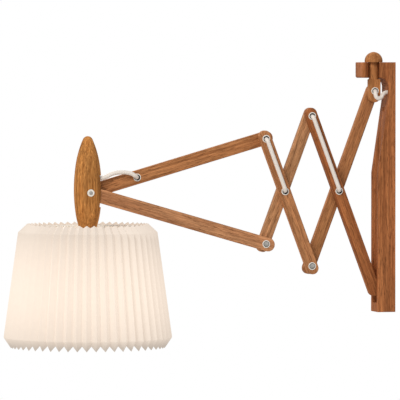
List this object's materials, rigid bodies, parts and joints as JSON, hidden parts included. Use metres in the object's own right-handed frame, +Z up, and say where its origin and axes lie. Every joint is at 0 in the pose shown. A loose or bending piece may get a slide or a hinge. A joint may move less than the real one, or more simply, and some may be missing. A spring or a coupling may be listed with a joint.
{
  "type": "wall lamp",
  "caption": "Wall lamp on an accordion arm: oak board with hook and groove, swivel peg, crossed bars, turned spindle and a pleated shade.",
  "frame": {"origin": "middle of the wall board's back face, on the wall", "axes": "+Z up along the board, +X from the lamp into the wall, so the arm reaches out towards -X; -Y is the arm's near side"},
  "size_m": [0.6581, 0.2766, 0.4849],
  "materials": {
    "oak": "oiled",
    "white_bush": "satin",
    "clear_washer": "matt",
    "steel": "brushed",
    "cord": "matt",
    "white_plastic": "satin",
    "white_wire": "enamelled",
    "brass": "bright",
    "cap_metal": "satin",
    "opal_glass": "frosted",
    "shade_sheet": "matt translucent"
  },
  "bodies": {
    "wall_bracket": {"wall_board": "oak", "cord_in_board": "cord"},
    "swivel_peg": {"swivel_peg": "oak", "peg_bush": "white_bush", "peg_washer": "clear_washer", "cord_loop": "cord"},
    "inner_rear_bar": {"inner_rear_bar": "oak", "inner_bush": "white_bush", "inner_washer": "clear_washer", "lower_bush": "white_bush", "lower_washer": "clear_washer", "lower_pin": "steel", "cord_behind_inner_bar": "cord"},
    "inner_front_bar": {"inner_front_bar": "oak", "upper_bush": "white_bush", "upper_washer": "clear_washer", "cord_on_inner_bar": "cord"},
    "outer_front_bar": {"outer_front_bar": "oak", "outer_bush": "white_bush", "outer_washer": "clear_washer", "upper_lamp_bush": "white_bush", "upper_lamp_washer": "clear_washer", "cord_on_outer_bar": "cord"},
    "outer_rear_bar": {"outer_rear_bar": "oak", "lower_lamp_bush": "white_bush", "lower_lamp_washer": "clear_washer", "lower_lamp_pin": "steel", "cord_behind_outer_bar": "cord"},
    "upper_lamp_bar": {"upper_lamp_bar": "oak", "cord_eyelet": "white_bush", "cord_behind_lamp_bar": "cord"},
    "lower_lamp_bar": {"lower_lamp_bar": "oak"},
    "head_pin": {"head_pin": "steel", "head_washer": "steel", "head_front_washer": "steel", "head_rear_washer": "steel"},
    "lamp_head": {"spindle": "oak", "spindle_front_bush": "white_bush", "spindle_rear_bush": "white_bush", "threaded_tube": "steel", "holder_cap": "white_plastic", "lampholder": "white_plastic", "shade_ring": "white_plastic", "contact_block": "white_plastic", "screw_shell": "brass", "bulb_cap": "cap_metal", "bulb_glass": "opal_glass", "carrier_hub": "white_wire", "carrier_arm_1": "white_wire", "carrier_arm_2": "white_wire", "carrier_arm_3": "white_wire", "carrier_ring": "white_wire", "pleated_shade": "shade_sheet", "cord_in_spindle": "cord", "cord_arc": "cord"}
  },
  "joints": [
    {"name": "arm_swivel", "type": "hinge", "parent": "wall_bracket", "child": "swivel_peg", "pos_m": [-0.032, 0, 0.208], "axis": [0, 0, 1], "range_deg": [-35, 55], "deforming": ["cord_loop"]},
    {"name": "arm_fold", "type": "hinge", "parent": "swivel_peg", "child": "inner_rear_bar", "pos_m": [-0.032, 0.004, 0.16], "axis": [0, 1, 0], "range_deg": [-5.5, 34.5]},
    {"name": "inner_crossing", "type": "hinge", "parent": "inner_rear_bar", "child": "inner_front_bar", "pos_m": [-0.09399, 0.004, -0.00579], "axis": [0, 1, 0], "range_deg": [-69.2, 11.2]},
    {"name": "lower_elbow", "type": "hinge", "parent": "inner_rear_bar", "child": "outer_front_bar", "pos_m": [-0.14056, 0.004, -0.13037], "axis": [0, 1, 0], "range_deg": [-69.2, 11.2]},
    {"name": "upper_elbow", "type": "hinge", "parent": "inner_front_bar", "child": "outer_rear_bar", "pos_m": [-0.14056, 0.004, 0.11879], "axis": [0, 1, 0], "range_deg": [-11.2, 69.2]},
    {"name": "upper_lamp_elbow", "type": "hinge", "parent": "outer_front_bar", "child": "upper_lamp_bar", "pos_m": [-0.21971, 0.004, 0.08132], "axis": [0, 1, 0], "range_deg": [-6.5, 40.5]},
    {"name": "lower_lamp_elbow", "type": "hinge", "parent": "outer_rear_bar", "child": "lower_lamp_bar", "pos_m": [-0.21971, 0.004, -0.0929], "axis": [0, 1, 0], "range_deg": [-40.5, 6.5]},
    {"name": "head_level", "type": "hinge", "parent": "upper_lamp_bar", "child": "head_pin", "pos_m": [-0.51982, 0.004, -0.00579], "axis": [0, 1, 0], "range_deg": [-6, 1]},
    {"name": "head_tilt", "type": "hinge", "parent": "head_pin", "child": "lamp_head", "pos_m": [-0.51982, 0.004, -0.00579], "axis": [0, 1, 0], "range_deg": [-3, 10], "deforming": ["cord_arc"]}
  ],
  "couplings": [
    {"joint": "inner_crossing", "follows": "arm_fold", "ratio": -2},
    {"joint": "lower_elbow", "follows": "arm_fold", "ratio": -2},
    {"joint": "upper_elbow", "follows": "arm_fold", "ratio": 2},
    {"joint": "upper_lamp_elbow", "follows": "arm_fold", "ratio": 1.1719},
    {"joint": "lower_lamp_elbow", "follows": "arm_fold", "ratio": -1.1719},
    {"joint": "head_level", "follows": "arm_fold", "ratio": -0.17194}
  ]
}
